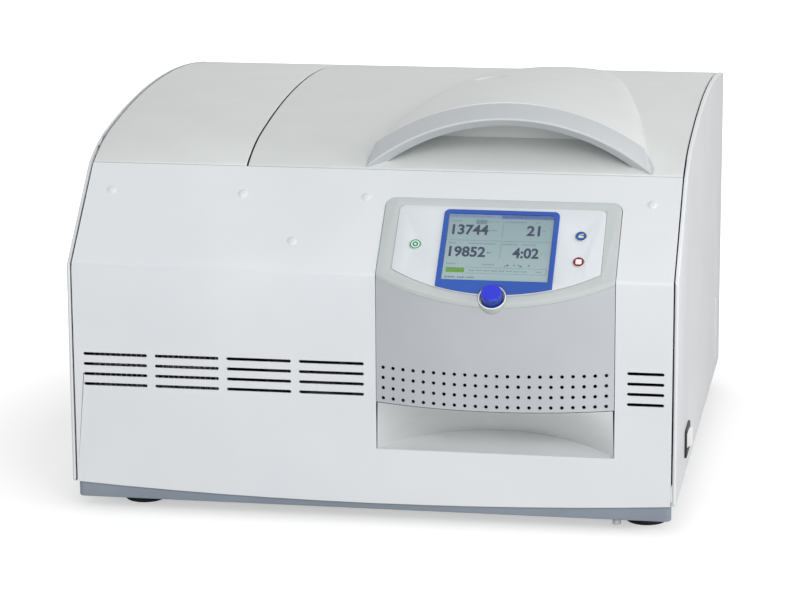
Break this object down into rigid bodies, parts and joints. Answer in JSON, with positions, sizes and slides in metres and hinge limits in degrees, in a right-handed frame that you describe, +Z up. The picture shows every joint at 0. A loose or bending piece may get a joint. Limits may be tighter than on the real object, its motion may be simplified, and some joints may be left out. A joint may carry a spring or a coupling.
{
  "type": "microplate centrifuge",
  "caption": "Refrigerated bench-top centrifuge with a curved hinged lid and arched grip, sloped control desk with screen and dial, and a swing-out microplate rotor.",
  "frame": {"origin": "on the bench, under the middle of the machine's bounding box", "axes": "+Z up, the front panel faces -Y, +X is to the right of someone facing the front"},
  "size_m": [0.6812, 0.6996, 0.453],
  "materials": {
    "casing_white": "satin powder coat",
    "cover_white": "fine textured moulding",
    "panel_grey": "satin light grey paint",
    "sill_grey": "satin blue grey paint",
    "handle_silver": "silver grey satin",
    "keypad_film": "printed film",
    "blue_plastic": "gloss",
    "screen": "backlit display",
    "key_plastic": "matte",
    "black_rubber": "matte",
    "grey_rubber": "matte",
    "black_plastic": "matte",
    "stainless": "brushed stainless",
    "steel": "zinc plated",
    "aluminium": "satin",
    "copper": "copper tube",
    "foam": "polyurethane foam",
    "cast_black": "black enamel",
    "board_green": "circuit board"
  },
  "bodies": {
    "housing": {"base_tray": "steel", "front_sill": "sill_grey", "feet": "black_rubber", "front_panel": "casing_white", "panel_plugs": "cover_white", "left_cheek": "casing_white", "right_cheek": "casing_white", "rear_panel": "casing_white", "power_inlet": "black_plastic", "housing_screws": "steel", "left_top_cover": "cover_white", "deck_plate": "stainless", "hinge_blocks": "steel", "lock_housings": "black_plastic", "control_bezel": "panel_grey", "keypad_panel": "keypad_film", "display_frame": "blue_plastic", "display_module": "screen", "control_board": "board_green", "knob_cup": "cover_white", "knob_encoder": "black_plastic", "perforated_panel": "panel_grey", "intake_scoop": "panel_grey", "mains_switch_frame": "black_plastic", "chamber_bowl": "stainless", "bowl_insulation": "foam", "evaporator_coil": "copper", "armour_ring": "steel", "chamber_plate": "steel", "plate_posts": "steel", "motor_dampers": "black_rubber", "motor_plate": "steel", "drive_motor": "aluminium", "condenser": "aluminium", "fan_shroud": "black_plastic", "compressor": "cast_black", "inverter": "aluminium"},
    "lid": {"lid_cover": "cover_white", "lid_inner_plate": "stainless", "lid_hood": "cover_white", "lid_handle": "handle_silver", "hinge_arms": "steel", "hinge_pins": "steel", "lid_springs": "steel", "lid_seal": "grey_rubber", "lock_strikers": "steel"},
    "lock": {"lock_hooks": "steel"},
    "rotor": {"motor_shaft": "steel", "rotor_head": "aluminium", "rotor_nut": "steel"},
    "left_bucket": {"left_carrier": "aluminium"},
    "right_bucket": {"right_carrier": "aluminium"},
    "fan": {"condenser_fan": "black_plastic"},
    "switch_rocker": {"mains_rocker": "cover_white"},
    "dial_shaft": {"knob_shaft": "steel"},
    "dial": {"control_knob": "blue_plastic"},
    "start_button": {"start_key": "key_plastic"},
    "lid_button": {"lid_key": "key_plastic"},
    "stop_button": {"stop_key": "key_plastic"}
  },
  "joints": [
    {"name": "lid_hinge", "type": "hinge", "parent": "housing", "child": "lid", "pos_m": [0.085, 0.31313, 0.392], "axis": [-1, 0, 0], "range_deg": [0, 80]},
    {"name": "lock_turn", "type": "hinge", "parent": "housing", "child": "lock", "pos_m": [0.088, -0.21287, 0.29], "axis": [-1, 0, 0], "range_deg": [0, 18]},
    {"name": "rotor_spin", "type": "hinge", "parent": "housing", "child": "rotor", "pos_m": [0.088, 0.03013, 0.296], "axis": [0, 0, 1], "continuous": true},
    {"name": "left_bucket_swing", "type": "hinge", "parent": "rotor", "child": "left_bucket", "pos_m": [-0.017, 0.03013, 0.296], "axis": [0, 1, 0], "range_deg": [0, 90]},
    {"name": "right_bucket_swing", "type": "hinge", "parent": "rotor", "child": "right_bucket", "pos_m": [0.193, 0.03013, 0.296], "axis": [0, -1, 0], "range_deg": [0, 90]},
    {"name": "fan_spin", "type": "hinge", "parent": "housing", "child": "fan", "pos_m": [-0.24, -0.25487, 0.191], "axis": [0, 1, 0], "continuous": true},
    {"name": "mains_rocker_tilt", "type": "hinge", "parent": "housing", "child": "switch_rocker", "pos_m": [0.3305, -0.17787, 0.071], "axis": [0, 0, 1], "range_deg": [0, 22]},
    {"name": "dial_turn", "type": "hinge", "parent": "housing", "child": "dial_shaft", "pos_m": [0.1392, -0.33351, 0.26245], "axis": [0, -0.6856, 0.728], "continuous": true},
    {"name": "dial_press", "type": "slide", "parent": "dial_shaft", "child": "dial", "axis": [0, 0.6856, -0.728], "range_m": [0, 0.001], "stiffness_N_per_m": 600, "springref_m": -0.001},
    {"name": "start_press", "type": "slide", "parent": "housing", "child": "start_button", "axis": [0, 0.6856, -0.728], "range_m": [0, 0.0008], "stiffness_N_per_m": 600, "springref_m": -0.001},
    {"name": "lid_press", "type": "slide", "parent": "housing", "child": "lid_button", "axis": [0, 0.6856, -0.728], "range_m": [0, 0.0008], "stiffness_N_per_m": 600, "springref_m": -0.001},
    {"name": "stop_press", "type": "slide", "parent": "housing", "child": "stop_button", "axis": [0, 0.6856, -0.728], "range_m": [0, 0.0008], "stiffness_N_per_m": 600, "springref_m": -0.001}
  ]
}
